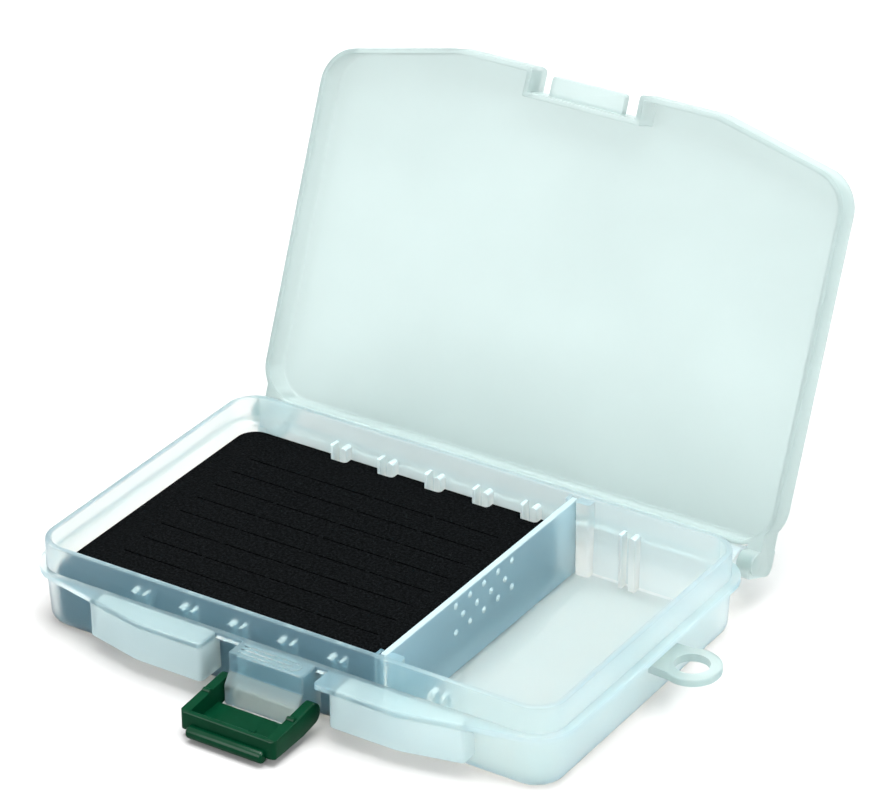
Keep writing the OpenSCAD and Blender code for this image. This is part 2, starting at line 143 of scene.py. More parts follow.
def choose_faces(piece, test):
    """Selects the faces whose centre, in millimetres, and normal pass the test."""
    edit(piece, "FACE")
    leave()
    for face in piece.data.polygons:
        face.select = bool(test(face.center / MM, face.normal))
    bpy.ops.object.mode_set(mode="EDIT")


def round_edges(piece, width, segments, test):
    """Bevels the chosen edges, and leaves edit mode."""
    choose_edges(piece, test)
    bpy.ops.mesh.bevel(
        offset=width * MM, offset_type="OFFSET", segments=segments, affect="EDGES", clamp_overlap=False
    )
    leave()


def grow(shift):
    """Extrudes the selected faces by a shift in millimetres."""
    bpy.ops.mesh.extrude_region_move(TRANSFORM_OT_translate={"value": [s * MM for s in shift]})


def plate(name, corners, low, high, along="Z"):
    """A ring of corners, filled and extruded from low to high. Corners are (x, y), or (y, z) along X."""
    deselect()
    bpy.ops.mesh.primitive_circle_add(vertices=len(corners), radius=MM, fill_type="NGON")
    piece = bpy.context.object
    piece.name = name
    area = sum(a[0] * b[1] - b[0] * a[1] for a, b in zip(corners, corners[1:] + corners[:1]))
    ordered = corners if area > 0 else corners[::-1]
    for vertex, (u, v) in zip(piece.data.vertices, ordered):
        vertex.co = Vector((u, v, low) if along == "Z" else (low, u, v)) * MM
    edit(piece, "FACE")
    bpy.ops.mesh.select_all(action="SELECT")
    grow((0, 0, high - low) if along == "Z" else (high - low, 0, 0))
    bpy.ops.mesh.select_all(action="SELECT")
    bpy.ops.mesh.normals_make_consistent(inside=False)
    leave()
    return piece


def bar(name, low, high):
    """A straight bar from its lowest to its highest corner."""
    corners = [(low[0], low[1]), (high[0], low[1]), (high[0], high[1]), (low[0], high[1])]
    return plate(name, corners, low[2], high[2])


def settle(piece):
    """Puts an object's place and turn into its mesh."""
    deselect()
    piece.select_set(True)
    bpy.context.view_layer.objects.active = piece
    bpy.ops.object.transform_apply(location=True, rotation=True, scale=True)
    return piece


def rod(name, x0, x1, y, z, radius, sides=40):
    """A round rod along X."""
    deselect()
    middle = Vector(((x0 + x1) / 2, y, z)) * MM
    bpy.ops.mesh.primitive_cylinder_add(
        vertices=sides, radius=radius * MM, depth=(x1 - x0) * MM,
        location=middle, rotation=(0, math.pi / 2, 0)
    )
    bpy.context.object.name = name
    return settle(bpy.context.object)


def post(name, x, y, z0, z1, radius, sides=64):
    """A round post along Z."""
    deselect()
    middle = Vector((x, y, (z0 + z1) / 2)) * MM
    bpy.ops.mesh.primitive_cylinder_add(
        vertices=sides, radius=radius * MM, depth=(z1 - z0) * MM, location=middle
    )
    bpy.context.object.name = name
    return settle(bpy.context.object)


def twin(piece, matrix):
    """A copy with its own mesh, carried by a matrix, with its faces outward."""
    copy = piece.copy()
    copy.data = piece.data.copy()
    bpy.context.scene.collection.objects.link(copy)
    copy.data.transform(matrix)
    if matrix.determinant() < 0:
        copy.data.flip_normals()
    return copy


def both_sides(piece):
    """The piece and its mirror image to the left."""
    return [piece, twin(piece, Matrix.Scale(-1, 4, (1, 0, 0)))]


def lump(pieces):
    """Solids that lie apart from each other, made one object."""
    deselect()
    for piece in pieces:
        piece.select_set(True)
    bpy.context.view_layer.objects.active = pieces[0]
    bpy.ops.object.join()
    return pieces[0]


def combine(piece, others, operation="UNION"):
    """Joins solids to a piece, or cuts them out of it, one by one."""
    deselect()
    piece.select_set(True)
    bpy.context.view_layer.objects.active = piece
    for other in others:
        tool = piece.modifiers.new("combine", "BOOLEAN")
        tool.operation = operation
        tool.solver = "EXACT"
        tool.object = other
        bpy.ops.object.modifier_apply(modifier=tool.name)
        bpy.data.objects.remove(other, do_unlink=True)
    return piece


def clean(piece):
    """Merges doubles and melts the flat faces that booleans split."""
    edit(piece)
    bpy.ops.mesh.select_all(action="SELECT")
    bpy.ops.mesh.remove_doubles(threshold=0.005 * MM)
    bpy.ops.mesh.dissolve_limited(angle_limit=math.radians(0.2))
    leave()


def finish_mesh(piece, angle=35.0):
    clean(piece)
    edit(piece)
    bpy.ops.mesh.select_all(action="SELECT")
    bpy.ops.mesh.normals_make_consistent(inside=False)
    leave()
    bpy.ops.object.shade_smooth_by_angle(angle=math.radians(angle))


# Tests on the two ends of an edge

def at(value, target, near=0.02):
    return abs(value - target) < near


def upright(a, b):
    return at(a.x, b.x) and at(a.y, b.y) and not at(a.z, b.z)


def level(z):
    return lambda a, b: at(a.z, z) and at(b.z, z)


def anywhere(a, b):
    return True


# Materials

def linear(hex_colour):
    """An sRGB hex colour as linear RGBA."""
    parts = [int(hex_colour[i:i + 2], 16) / 255 for i in (1, 3, 5)]
    return [c / 12.92 if c <= 0.04045 else ((c + 0.055) / 1.055) ** 2.4 for c in parts] + [1.0]


def new_material(name):
    material = bpy.data.materials.new(name)
    material.use_nodes = True
    material.node_tree.nodes.clear()
    return material


def add(material, kind, inputs=None, **settings):
    """Adds a node. Inputs are numbers and colours, or sockets to link from."""
    node = material.node_tree.nodes.new(kind)
    for key, value in settings.items():
        setattr(node, key, value)
    for key, value in (inputs or {}).items():
        if isinstance(value, bpy.types.NodeSocket):
            material.node_tree.links.new(value, node.inputs[key])
        else:
            node.inputs[key].default_value = value
    return node


def ramp(material, factor, low, low_hex, high, high_hex):
    tone = add(material, "ShaderNodeValToRGB", {"Fac": factor})
    for element, position, colour in zip(tone.color_ramp.elements, (low, high), (low_hex, high_hex)):
        element.position = position
        element.color = linear(colour)
    return tone.outputs["Color"]


def finish_material(material, surface):
    out = add(material, "ShaderNodeOutputMaterial")
    material.node_tree.links.new(surface, out.inputs["Surface"])
    return material


def frosted_polypropylene(name, haze, through, scattered):
    """Natural polypropylene, injection moulded: a cool milky haze over cloudy light, with a soft gloss.

    The haze is the share of light that the surface scatters back, from 0 to 1.
    """
    material = new_material(name)
    place = add(material, "ShaderNodeTexCoord").outputs["Object"]
    # Flow marks of the moulding, some 30 mm long, and a tool grain of 0.4 mm, coarse enough to show
    flow = add(material, "ShaderNodeTexNoise", {"Vector": place, "Scale": 35.0, "Detail": 2.0})
    grain = add(material, "ShaderNodeTexNoise", {"Vector": place, "Scale": 2500.0, "Detail": 1.0})
    bump = add(material, "ShaderNodeBump", {
        "Height": grain.outputs["Fac"], "Strength": 0.05, "Distance": 0.0001,
    })
    clear = add(material, "ShaderNodeBsdfPrincipled", {
        "Base Color": ramp(material, flow.outputs["Fac"], 0.3, through[0], 0.7, through[1]),
        "Roughness": 0.35, "IOR": 1.2, "Transmission Weight": 1.0, "Normal": bump.outputs["Normal"],
    })
    milky = add(material, "ShaderNodeBsdfPrincipled", {
        "Base Color": ramp(material, flow.outputs["Fac"], 0.3, scattered[0], 0.7, scattered[1]),
        "Roughness": 0.4, "IOR": 1.2, "Normal": bump.outputs["Normal"],
    })
    mix = add(material, "ShaderNodeMixShader", {0: haze, 1: clear.outputs[0], 2: milky.outputs[0]})
    return finish_material(material, mix.outputs[0])


def green_abs(name, gloss, roughness):
    """ABS coloured right through, injection moulded: a deep even green whose gloss depends on handling."""
    material = new_material(name)
    place = add(material, "ShaderNodeTexCoord").outputs["Object"]
    # A faint mottle of some 3 mm
    mottle = add(material, "ShaderNodeTexNoise", {"Vector": place, "Scale": 300.0, "Detail": 3.0})
    bump = add(material, "ShaderNodeBump", {
        "Height": mottle.outputs["Fac"], "Strength": 0.04, "Distance": 0.0002,
    })
    surface = add(material, "ShaderNodeBsdfPrincipled", {
        "Base Color": ramp(material, mottle.outputs["Fac"], 0.3, "#012a18", 0.7, "#03301d"),
        "Roughness": roughness, "IOR": 1.53, "Specular IOR Level": gloss,
        "Normal": bump.outputs["Normal"],
    })
    return finish_material(material, surface.outputs[0])


def black_foam():
    """Closed-cell EVA foam, skived: near black, with cut cells of some 0.4 mm that catch specks of light."""
    material = new_material("black_eva_foam")
    place = add(material, "ShaderNodeTexCoord").outputs["Object"]
    cells = add(material, "ShaderNodeTexVoronoi", {"Vector": place, "Scale": 2200.0})
    specks = add(material, "ShaderNodeTexNoise", {"Vector": place, "Scale": 1500.0, "Detail": 2.0})
    bump = add(material, "ShaderNodeBump", {
        "Height": cells.outputs["Distance"], "Strength": 0.7, "Distance": 0.0003,
    })
    surface = add(material, "ShaderNodeBsdfPrincipled", {
        "Base Color": ramp(material, specks.outputs["Fac"], 0.4, "#020303", 0.85, "#141618"),
        "Roughness": 0.9, "Specular IOR Level": 0.02, "Normal": bump.outputs["Normal"],
    })
    return finish_material(material, surface.outputs[0])


def dress(piece, materials, body, node):
    """Gives a finished piece its materials and the body it rides on, and hides the CAD node it stands for."""
    piece.data.materials.clear()
    for material in materials:
        piece.data.materials.append(material)
    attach(piece, body)
    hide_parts(node)


# Camera, light and floor

def make_camera():
    """The photograph's view: a long lens, fitted to the case's outlines."""
    azimuth, elevation, roll = (math.radians(a) for a in (32.82, 28.62, -0.39))
    distance, aside, above = 1.0177, 0.01353, 0.05212
    flat = math.cos(elevation)
    back = Vector((math.sin(azimuth) * flat, -math.cos(azimuth) * flat, math.sin(elevation)))
    right = Vector((math.cos(azimuth), math.sin(azimuth), 0))
    up = back.cross(right)
    across = right * math.cos(roll) + up * math.sin(roll)
    upward = up * math.cos(roll) - right * math.sin(roll)
    data = bpy.data.cameras.new("camera")
    data.lens = 174.7
    data.sensor_width = 36.0
    data.clip_start = 0.05
    camera = bpy.data.objects.new("camera", data)
    bpy.context.scene.collection.objects.link(camera)
    turn = Matrix((across, upward, back)).transposed().to_4x4()
    camera.matrix_world = Matrix.Translation(back * distance + right * aside + up * above) @ turn
    bpy.context.scene.camera = camera


def soft_box(name, place, size, power):
    data = bpy.data.lights.new(name, "AREA")
    data.shape = "RECTANGLE"
    data.size, data.size_y = size
    data.energy = power
    light = bpy.data.objects.new(name, data)
    bpy.context.scene.collection.objects.link(light)
    light.location = place
    light.rotation_euler = (Vector((0, 0, 0.02)) - Vector(place)).to_track_quat("-Z", "Y").to_euler()


def make_studio():
    """White paper under the case, a pale surround and four soft boxes."""
    deselect()
    bpy.ops.mesh.primitive_plane_add(size=8.0, location=(0, 0, -0.0002))
    floor = bpy.context.object
    floor.name = "studio_floor"
    paper = new_material("studio_paper")
    surface = add(paper, "ShaderNodeBsdfPrincipled", {"Base Color": linear("#bcbcbc"), "Roughness": 0.9})
    finish_material(paper, surface.outputs[0])
    floor.data.materials.append(paper)
    scene = bpy.context.scene
    world = bpy.data.worlds.new("studio")
    scene.world = world
    world.use_nodes = True
    sky = world.node_tree.nodes["Background"]
    sky.inputs["Color"].default_value = linear("#ffffff")
    sky.inputs["Strength"].default_value = 0.65
    soft_box("key", (0.1, 0.0, 1.2), (1.0, 1.0), 29.0)
    soft_box("fill", (1.0, 0.0, 0.45), (0.7, 0.7), 8.0)
    soft_box("back", (-0.1, 0.9, 0.35), (1.2, 0.5), 4.0)
    soft_box("front", (-0.25, -0.9, 0.45), (0.9, 0.6), 5.0)
    scene.view_settings.view_transform = "Standard"
    scene.view_settings.look = "None"


# Tray

def outline(*cut):
    """The corners that the flange and the lid share, with a cut in the front."""
    front = [(-BOW_HALF, BOW_Y), *cut, (BOW_HALF, BOW_Y)]
    return front + [(HALF_W, SIDE_Y), (HALF_W, REAR_Y), (-HALF_W, REAR_Y), (-HALF_W, SIDE_Y)]


def round_outline(piece):
    """Rounds the upright edges of a plate of the shared outline."""
    def corner(x, y):
        return lambda a, b: upright(a, b) and at(abs(a.x), x) and at(a.y, y)

    round_edges(piece, OUTLINE_R, 12, corner(HALF_W, REAR_Y))
    round_edges(piece, OUTLINE_R * math.tan((math.pi / 2 - SLANT) / 2), 10, corner(HALF_W, SIDE_Y))
    round_edges(piece, KINK_R * math.tan(SLANT / 2), 4, corner(BOW_HALF, BOW_Y))


def pan(name, half_x, half_y, radius, z0, z1, foot_r):
    """A solid tub: rounded corners, a draft below the flange and a rounded foot."""
    tub = bar(name, (-half_x, -half_y, z0), (half_x, half_y, FLANGE_UNDER))
    round_edges(tub, radius, 12, upright)
    choose_faces(tub, lambda c, n: n.z < -0.9)
    shrink = ((half_x - DRAFT) / half_x, (half_y - DRAFT) / half_y, 1)
    bpy.ops.transform.resize(value=shrink, center_override=(0, 0, z0 * MM))
    leave()
    choose_faces(tub, lambda c, n: n.z > 0.9)
    grow((0, 0, z1 - FLANGE_UNDER))
    leave()
    round_edges(tub, foot_r, 6, level(z0))
    return tub


def make_flange():
    cut = [(-SKIRT_X0, BOW_Y), (-SKIRT_X0, NOTCH_Y), (LIP_X, NOTCH_Y), (LIP_X, BOW_Y)]
    flange = plate("flange", outline(*cut), FLANGE_UNDER, FLANGE_Z)
    round_outline(flange)
    round_edges(flange, 1.2, 4, lambda a, b: upright(a, b) and at(a.y, BOW_Y) and abs(a.x) < SKIRT_X0 + 1)
    round_edges(flange, FLANGE_ROUND, 3, level(FLANGE_Z))
    return flange


def make_skirts():
    """Hollow boxes under the bow: straight at the front, then slanting along the flange's edge."""
    def plan(inner, outer, front):
        back = -RIM_Y + WALL / 2
        slant = front + math.tan(SLANT) * (outer - BOW_HALF)
        return [(inner, back), (inner, front), (BOW_HALF, front), (outer, slant), (outer, back)]

    inner, front = SKIRT_X0 + 0.05, BOW_Y + SKIRT_BACK
    skirt = plate("skirt", plan(inner, SKIRT_X1, front), SKIRT_Z, FLANGE_UNDER + 0.3)
    round_edges(skirt, 1.2, 4, lambda a, b: upright(a, b) and at(a.x, inner) and at(a.y, front))
    round_edges(skirt, 0.8, 3, lambda a, b: upright(a, b) and at(a.x, SKIRT_X1) and a.y < -RIM_Y)
    round_edges(skirt, 1.5, 4, lambda a, b: upright(a, b) and at(a.x, BOW_HALF) and at(a.y, front))
    inside = plan(inner + WALL, SKIRT_X1 - WALL, front + WALL)
    hollow = plate("skirt_hollow", inside, SKIRT_Z - 1, FLANGE_UNDER)
    combine(skirt, [hollow], "DIFFERENCE")
    clean(skirt)
    round_edges(skirt, 0.4, 3, lambda a, b: level(SKIRT_Z)(a, b) and not (at(a.y, b.y) and a.y > -RIM_Y))
    return lump(both_sides(skirt))


def make_catch():
    """The block that carries the latch: foot, slope and upper part, hollow from below, lines on its top."""
    back = -RIM_Y + WALL / 2
    side = [(back, BLOCK_Z0), (FOOT_Y, BLOCK_Z0), (FOOT_Y, FOOT_TOP), (BLOCK_Y, SLOPE_TOP)]
    side += [(BLOCK_Y, FLANGE_Z), (back, FLANGE_Z)]
    catch = plate("catch_block", side, -BLOCK_HALF, BLOCK_HALF, along="X")
    round_edges(catch, 0.5, 3, lambda a, b: not (at(a.y, back) and at(b.y, back)))
    inside = [(-43.75, 1.2), (-51.1, 1.2), (-51.1, 6.4), (-48.9, 9.4), (-48.9, 13.5), (-43.75, 13.5)]
    combine(catch, [plate("catch_hollow", inside, -8.6, 8.6, along="X")], "DIFFERENCE")
    details = both_sides(rod("latch_pin", BLOCK_HALF - 0.2, BLOCK_HALF + 2, LATCH_Y, LATCH_Z, LATCH_PIN_R))
    # Three raised lines; the outer two meet in a round end on the right
    pitch = (NOTCH_Y - BLOCK_Y) / 3.5
    middle = BLOCK_Y + 1.5 * pitch + LINE_HALF
    turn = [math.radians(90 - 180 * i / 8) for i in range(9)]
    for reach, half in ((pitch + LINE_HALF, pitch - LINE_HALF), (LINE_HALF, 0)):
        end = LINE_X1 - pitch - LINE_HALF if half else 5.6
        edge = [(end + reach * math.cos(a), middle + reach * math.sin(a)) for a in turn]
        if half:
            edge += [(LINE_X0, middle - reach), (LINE_X0, middle - half)]
            edge += [(end + half * math.cos(a), middle + half * math.sin(a)) for a in reversed(turn)]
            edge += [(LINE_X0, middle + half), (LINE_X0, middle + reach)]
        else:
            edge += [(LINE_X0, middle - reach), (LINE_X0, middle + reach)]
        details.append(plate("catch_line", edge, FLANGE_Z - 0.1, FLANGE_Z + LINE_H))
    return [catch, lump(details)]


def make_lugs():
    """The hinge lugs with their stop shoulders, and the pins."""
    def around(radius, degrees):
        a = math.radians(degrees)
        return (HINGE_Y + radius * math.cos(a), HINGE_Z + radius * math.sin(a))

    near = around(STOP_R, 68)
    tilt = math.radians(22)
    far = (near[0] + 4 * math.cos(tilt), near[1] - 4 * math.sin(tilt))
    wall = RIM_Y - 1.35
    side = [(wall, HINGE_Z - LUG_R), around(LUG_R, 270), (far[0], HINGE_Z - 0.92), far, near]
    side += [around(LUG_R, a) for a in (90, 102, 114, 126, 139)] + [(wall, FLANGE_Z - 0.1)]
    lug = plate("hinge_lug", side, LUG_X0, LUG_X1, along="X")
    round_edges(lug, 0.35, 2, lambda a, b: min(a.y, b.y) > REAR_Y + 0.3)
    tip = LUG_X1 + HINGE_PIN_LONG
    pin = rod("hinge_pin", LUG_X1 - 0.2, tip, HINGE_Y, HINGE_Z, HINGE_PIN_R)
    round_edges(pin, 0.3, 2, lambda a, b: at(a.x, tip) and at(b.x, tip))
    return [lump(both_sides(lug)), lump(both_sides(pin))]


def make_ring():
    """The flat ring for a cord, with its broad root in the wall. Its hole is cut once it is on the tray."""
    turn = math.asin(RING_ROOT / RING_R)
    sweep = [turn - math.pi + 2 * (math.pi - turn) * i / 48 for i in range(49)]
    past_root = [a for a in sweep if math.cos(a) > -math.cos(turn) + 0.01]
    wall = RIM_X - WALL / 2
    edge = [(RING_X + RING_R * math.cos(a), RING_Y + RING_R * math.sin(a)) for a in past_root]
    corners = [(wall, RING_Y - RING_ROOT), *edge, (wall, RING_Y + RING_ROOT)]
    ring = plate("lanyard_ring", corners, RING_TOP - RING_T, RING_TOP)
    round_edges(ring, 0.4, 3, lambda a, b: at(a.z, b.z) and min(a.x, b.x) > wall + 0.1)
    return ring


def make_ribs():
    """The slots along both long walls: a thin rib and a rounded one each, and a tall pair at the divider."""
    deep, tall_top = RIM_Y - 1.15, RIM_Z - RIM_ROUND - 0.06
    ribs = []

    def rib(x, width, top, rear):
        y0, y1 = (RIB_NEAR, deep) if rear > 0 else (-deep, -RIB_NEAR)
        return bar("rib", (x - width / 2, y0, FLOOR_T - 0.2), (x + width / 2, y1, top))

    for rear in (1, -1):
        near = rear * RIB_NEAR
        for k in range(-3, 4):
            if k == DIVIDER_SLOT:
                continue
            x = k * RIB_PITCH
            thin = rib(x - rear * (SLOT_HALF + THIN_RIB / 2), THIN_RIB, RIB_TOP, rear)
            round_edges(thin, 0.2, 2, lambda a, b: at(a.y, near) and at(b.y, near) and a.z + b.z > 4)
            broad = rib(x + rear * (SLOT_HALF + BROAD_RIB / 2), BROAD_RIB, RIB_TOP, rear)
            round_edges(broad, 0.88, 4, lambda a, b: level(RIB_TOP)(a, b) and at(a.x, b.x))
            ribs += [thin, broad]
        ribs.append(rib(DIVIDER_X - SLOT_HALF - THIN_RIB / 2, THIN_RIB, tall_top, rear))
        tall = rib(DIVIDER_X + SLOT_HALF + TALL_POST / 2, TALL_POST, tall_top, rear)
        round_edges(tall, 0.9, 4, lambda a, b: upright(a, b) and at(a.y, near))
        ribs.append(tall)
    return lump(ribs)


def tray_finish_and_painted_light(c, n):
    """The finish of the tray's face with its centre at c, in millimetres, and its normal n, with painted light
    on the skirts, the rear wall and the rib tips and painted shade on the catch's foot and slope.
    """
    before_wall = c.y < -RIM_Y - 0.5
    on_skirt = SKIRT_X0 - 0.1 < abs(c.x) < SKIRT_X1 + 0.1 and before_wall and c.z < FLANGE_UNDER + 0.1
    on_rear_wall = n.y < -0.9 and at(c.y, RIM_Y - WALL, 0.4)
    on_rib_top = n.z > 0.3 and at(c.z, RIB_TOP, 0.9) and RIB_NEAR - 0.1 < abs(c.y) < RIM_Y - WALL
    # Skirts, the rear wall's inner face and the rib tips get the whiter, milkier frost to lighten them: painted
    # light
    if on_skirt or on_rear_wall or on_rib_top:
        return MILKY_PAINTED_LIGHT
    on_floor = n.z > 0.9 and at(c.z, FLOOR_T)
    on_flange = n.z > 0.5 and at(c.z, FLANGE_Z, 0.5)
    on_rim = n.z > 0.2 and c.z > RIM_Z - RIM_ROUND
    on_block = abs(c.x) < BLOCK_HALF and c.y < NOTCH_Y
    rounded = max(abs(n.x), abs(n.y), abs(n.z)) < 0.97
    on_block_detail = on_block and (c.z > FLANGE_Z + 0.1 or (rounded and c.z > SLOPE_TOP + 0.2))
    if on_floor or on_flange or on_rim or on_block_detail:
        return FINE_SATIN
    # The catch's foot and slope get the greyer satin to darken them: painted shade
    on_foot = on_block and c.y < BLOCK_Y - 0.1 and c.z < SLOPE_TOP + 0.1
    on_ring = c.x > HALF_W + 0.1
    return SATIN_AND_PAINTED_SHADE if on_foot or on_ring else POLISHED


def make_tray(*finishes_and_painted_light):
    tray = pan("tray", RIM_X, RIM_Y, CORNER_R, 0.0, RIM_Z, FOOT_R)
    combine(tray, [make_flange(), make_skirts(), *make_catch(), *make_lugs(), make_ring()])
    hollow = pan("tray_hollow", RIM_X - WALL, RIM_Y - WALL, CORNER_R - WALL, FLOOR_T, RIM_Z + 1, 0.5)
    combine(tray, [hollow, post("ring_hole", RING_X, RING_Y, 9, 12, RING_HOLE_R)], "DIFFERENCE")
    clean(tray)
    round_edges(tray, RIM_ROUND, 3, level(RIM_Z))
    combine(tray, [make_ribs()])
    finish_mesh(tray)
    dress(tray, finishes_and_painted_light, "tray", "tray")
    for face in tray.data.polygons:
        face.material_index = tray_finish_and_painted_light(face.center / MM, face.normal)


# Lid

def carry_open(piece):
    """Turns a piece that was made on the closed lid to where the open lid has it."""
    axis = Vector((0, HINGE_Y, HINGE_Z)) * MM
    turn = Matrix.Rotation(-LID_OPEN, 4, "X")
    piece.data.transform(Matrix.Translation(axis) @ turn @ Matrix.Translation(-axis))


def make_ears():
    front, back, low = REAR_Y + 0.2, HINGE_Y + 3.7, HINGE_Z - 2.7
    side = [(EAR_Y0, LID_Z0), (front, LID_Z0), (front, low), (back, low), (back, LID_Z1), (front, LID_Z1)]
    side += [(front, LID_Z1 - 1), (EAR_Y0, LID_Z1 - 1)]
    ear = plate("hinge_ear", side, EAR_X0, EAR_X1, along="X")

    def corner(a, b):
        along = at(a.y, b.y) and at(a.z, b.z)
        return along and (at(a.y, back) or (at(a.y, front) and at(a.z, low)))

    round_edges(ear, EAR_ROUND, 8, corner)
    round_edges(ear, 0.4, 2, lambda a, b: at(a.x, b.x) and min(a.y, b.y) > front - 0.1)
    # The ear stays out of the lid's hollow at its rounded corner
    x, y, inner_r = HALF_W - OUTLINE_R, REAR_Y - OUTLINE_R, OUTLINE_R - LID_WALL
    combine(ear, [post("corner_room", x, y, LID_Z0 - 1, LID_Z1 - LID_TOP_T, inner_r)], "DIFFERENCE")
    boss = rod("hinge_boss", EAR_X1 - 0.2, EAR_X1 + 0.5, HINGE_Y, HINGE_Z, 2.6)
    round_edges(boss, 0.2, 2, lambda a, b: at(a.x, EAR_X1 + 0.5) and at(b.x, EAR_X1 + 0.5))
    combine(ear, [boss])
    combine(ear, [rod("pin_hole", EAR_X0 - 1, EAR_X1 - 0.6, HINGE_Y, HINGE_Z, HINGE_HOLE_R)], "DIFFERENCE")
    clean(ear)
    return lump(both_sides(ear))


def make_lid(material):
    """The lid as it lies closed, with its notch and the notch's walls, then carried open."""
    lid = plate("lid", outline(), LID_Z0, LID_Z1)
    round_outline(lid)
    choose_faces(lid, lambda c, n: n.z < -0.9)
    bpy.ops.mesh.inset(thickness=LID_WALL * MM, use_even_offset=True)
    grow((0, 0, LID_Z1 - LID_TOP_T - LID_Z0))
    leave()
    round_edges(lid, LID_EDGE_R, 5, level(LID_Z1))
    round_edges(lid, 0.6, 3, level(LID_Z1 - LID_TOP_T))
    round_edges(lid, 0.25, 2, level(LID_Z0))
    side, deep = NOTCH_HALF + LID_WALL, NOTCH_Y + LID_WALL
    wall = bar("notch_wall", (-side, BOW_Y + 0.6, LID_Z0), (side, deep, LID_Z1 - 0.6))
    round_edges(wall, 0.25, 2, lambda a, b: level(LID_Z0)(a, b) and max(a.y, b.y) > deep - 0.1)
    combine(lid, [wall])
    # The notch's mouth opens in a quarter round on each side
    r = NOTCH_MOUTH
    turn = [math.radians(90 * i / 4) for i in range(5)]
    left = [(-NOTCH_HALF - r + r * math.sin(a), BOW_Y + r - r * math.cos(a)) for a in turn]
    left = [(left[0][0], BOW_Y - 1), *left, (-NOTCH_HALF, NOTCH_Y)]
    right = [(-x, y) for x, y in reversed(left)]
    combine(lid, [plate("notch", left + right, LID_Z0 - 1, LID_Z1 + 1)], "DIFFERENCE")
    tab = bar("tab", (-BLOCK_HALF, NOTCH_Y - TAB_OUT, TAB_Z0), (BLOCK_HALF, NOTCH_Y + 0.6, TAB_Z1))
    round_edges(tab, 0.9, 4, lambda a, b: upright(a, b) and max(a.y, b.y) < NOTCH_Y)
    round_edges(tab, 0.35, 2, lambda a, b: at(a.z, b.z) and min(a.y, b.y) < NOTCH_Y - 0.1)
    combine(lid, [tab, make_ears()])
    carry_open(lid)
    finish_mesh(lid)
    dress(lid, [material], "lid", "lid")


# Latch, divider and foam

def make_latch(satin, glossy):
    """Two arms round the catch's pins, a floor plate, the hook wall and the finger bar."""
    def around(degrees):
        a = math.radians(degrees)
        return (LATCH_Y + ARM_R * math.cos(a), LATCH_Z + ARM_R * math.sin(a))

    def front_corner(a, b):
        return upright(a, b) and at(a.y, LATCH_FRONT) and at(a.x, LATCH_HALF)

    def front_top(a, b):
        return at(a.z, b.z) and a.z > LATCH_TOP - 0.1 and min(a.y, b.y) < LATCH_FRONT + 2

    def outer_edge(a, b):
        return at(a.x, LATCH_HALF) and at(b.x, LATCH_HALF) and max(a.y, b.y) > LATCH_FRONT + 2

    side = [(LATCH_FRONT, LATCH_TOP), (LATCH_FRONT, LATCH_LOW), (LATCH_BACK, LATCH_LOW)]
    arm = plate("latch_arm", side + [around(a) for a in range(-90, 91, 15)], ARM_IN, LATCH_HALF, along="X")
    round_edges(arm, 1.2, 5, front_corner)
    round_edges(arm, 0.7, 4, front_top)
    round_edges(arm, 0.5, 3, outer_edge)
    combine(arm, [rod("latch_nub", ARM_IN, LATCH_HALF - 0.5, -57.2, 7.6, 0.7, 20)])
    hole = rod("latch_hole", ARM_IN - 1, BLOCK_HALF + 2.2, LATCH_Y, LATCH_Z, LATCH_HOLE_R)
    combine(arm, [hole], "DIFFERENCE")
    arm, other = both_sides(arm)
    reach = ARM_IN + 0.2
    floor = bar("latch_floor", (-reach, LATCH_FRONT + 0.1, 2.2), (reach, LATCH_BACK, 3.5))
    reach, top = ARM_IN + 0.9, 6.78
    wall = bar("latch_hook", (-reach, LATCH_FRONT + 0.02, 2.12), (reach, LATCH_FRONT + 1.6, top))
    round_edges(wall, 0.5, 4, lambda a, b: level(top)(a, b) and at(a.y, b.y))
    finger = rod("finger_bar", -FINGER_HALF, FINGER_HALF, LATCH_FRONT - 0.3, 2.3, FINGER_R, 32)
    round_edges(finger, 0.6, 4, lambda a, b: at(a.x, b.x) and at(abs(a.x), FINGER_HALF))
    mark = plate("latch_mark", [(2.2, -60.9), (4.0, -60.9), (3.8, -59.8)], 3.4, 3.75)
    combine(arm, [other, floor, wall, finger, mark])
    arm.name = "latch"
    finish_mesh(arm)
    dress(arm, [satin, glossy], "latch", "latch")
    for face in arm.data.polygons:
        if 0.45 < face.normal.z < 0.97:
            face.material_index = 1


def make_divider(clear, milky):
    """The loose plate with a field of bumps. The bumps' near sides are milky as a painted highlight, and the
    plate's top edge is milky.
    """
    low, top, y, cut = DIVIDER_Z0, DIVIDER_Z1, DIVIDER_Y, DIVIDER_CUT
    side = [(-y + cut, low), (y - cut, low), (y, low + cut), (y, top), (-y, top), (-y, low + cut)]
    x = DIVIDER_X + DIVIDER_HALF
    sheet = plate("divider", side, DIVIDER_X - DIVIDER_HALF, x, along="X")
    round_edges(sheet, DIVIDER_ROUND, 3, anywhere)
    bumps = []
    for row in range(3):
        short = row == 1
        for i in range(4 if short else 5):
            deselect()
            y = BUMP_Y - i * BUMP_STEP_Y - (BUMP_STEP_Y / 2 if short else 0)
            place = Vector((x + BUMP_OUT - BUMP_R, y, top - BUMP_DOWN - row * BUMP_STEP_Z)) * MM
            bpy.ops.mesh.primitive_uv_sphere_add(
                segments=24, ring_count=12, radius=BUMP_R * MM, location=place, rotation=(0, math.pi / 2, 0)
            )
            bumps.append(settle(bpy.context.object))
    combine(sheet, [lump(bumps)])
    finish_mesh(sheet)
    dress(sheet, [clear, milky], "divider", "divider")
    for face in sheet.data.polygons:
        c, n = face.center / MM, face.normal
        # The bumps' flanks that face the front get the milky material: a painted highlight
        on_bump = c.x > x + 0.02 and n.y < 0.1
        on_top = c.z > top - DIVIDER_ROUND and n.z > 0.2
        if on_bump or on_top:
            face.material_index = 1


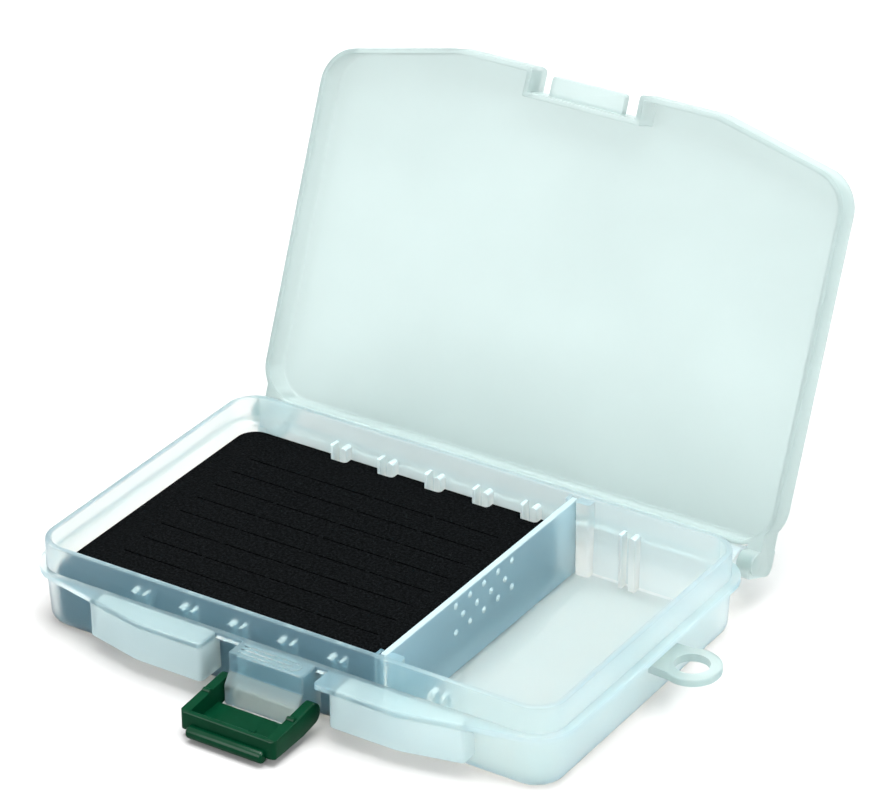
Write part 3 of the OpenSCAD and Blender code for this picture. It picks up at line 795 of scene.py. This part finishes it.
def make_foam(material):
    """The sheet, notched round the ribs, with slits for the hooks."""
    sheet = bar("foam_sheet", (FOAM_X0, -FOAM_Y, FOAM_Z0), (FOAM_X1, FOAM_Y, FOAM_Z1))
    round_edges(sheet, FOAM_R, 8, upright)
    cuts = []
    for k in range(-3, 2):
        for rear in (1, -1):
            x = k * RIB_PITCH
            thin_side = x - rear * (SLOT_HALF + THIN_RIB + FOAM_ROOM)
            round_side = x + rear * (SLOT_HALF + BROAD_RIB + FOAM_ROOM)
            x0, x1 = sorted((thin_side, round_side))
            y0, y1 = sorted((rear * FOAM_NOTCH_Y, rear * (FOAM_Y + 1)))
            notch = bar("rib_notch", (x0, y0, FOAM_Z0 - 1), (x1, y1, FOAM_Z1 + 1))

            def round_corner(a, b):
                return upright(a, b) and at(a.x, round_side) and at(abs(a.y), FOAM_NOTCH_Y)

            round_edges(notch, 1.0, 5, round_corner)
            cuts.append(notch)
    # The slits are cut with short blades that leave bridges between them
    for row in range(SLIT_ROWS):
        y, top = SLIT_Y + SLIT_STEP_Y * row, FOAM_Z1 + 0.1
        corners = [(y - SLIT_HALF, top), (y, FOAM_Z1 - SLIT_DEEP), (y + SLIT_HALF, top)]
        for dash in range(4):
            x0 = SLIT_X + SLIT_STEP_X * dash
            cuts.append(plate("slit", corners, x0, x0 + SLIT_LONG, along="X"))
    combine(sheet, [lump(cuts)], "DIFFERENCE")
    finish_mesh(sheet)
    dress(sheet, [material], "tray", "foam_sheet")


def main():
    make_camera()
    make_studio()
    # Polished in the mould: clear walls, blue grey where dark foam lies behind them
    polished = frosted_polypropylene(
        "polypropylene_polished", 0.1, ("#fdf9f0", "#fffbf3"), ("#9adefc", "#9fe2ff")
    )
    # A coarse, whiter haze used as painted light: it makes the skirts, the rear wall and the rib tips stand out
    # milky, paints a highlight on the divider's bumps, and gives the divider's top edge its milky tone
    milky_painted_light = frosted_polypropylene(
        "polypropylene_milky_painted_light", 0.45, ("#f4f6f2", "#f8faf6"), ("#c3d9dd", "#c8dee2")
    )
    # Satin: an even, cloudy green grey, as over the whole lid; on the tray's catch foot and slope it is painted
    # shade
    satin = frosted_polypropylene(
        "polypropylene_satin", 0.2, ("#c4d1cf", "#c8d5d3"), ("#bcd0cf", "#c0d4d3")
    )
    # Extruded sheet: the divider's bluer, more even tone
    extruded = frosted_polypropylene(
        "polypropylene_sheet", 0.22, ("#dbe6ea", "#dfe9ec"), ("#aad6e6", "#aedaea")
    )
    # Fine satin: a light veil on the floor, the flange and the rim
    fine_satin = frosted_polypropylene(
        "polypropylene_fine_satin", 0.15, ("#ebe8df", "#efece3"), ("#aed6e4", "#b2dae8")
    )
    make_tray(polished, milky_painted_light, fine_satin, satin)
    make_lid(satin)
    make_divider(extruded, milky_painted_light)
    # Satin on its faces, and rubbed glossy by the thumb on its rounded upper edges
    make_latch(green_abs("green_abs_satin", 0.04, 0.35), green_abs("green_abs_rubbed", 0.24, 0.22))
    make_foam(black_foam())


main()
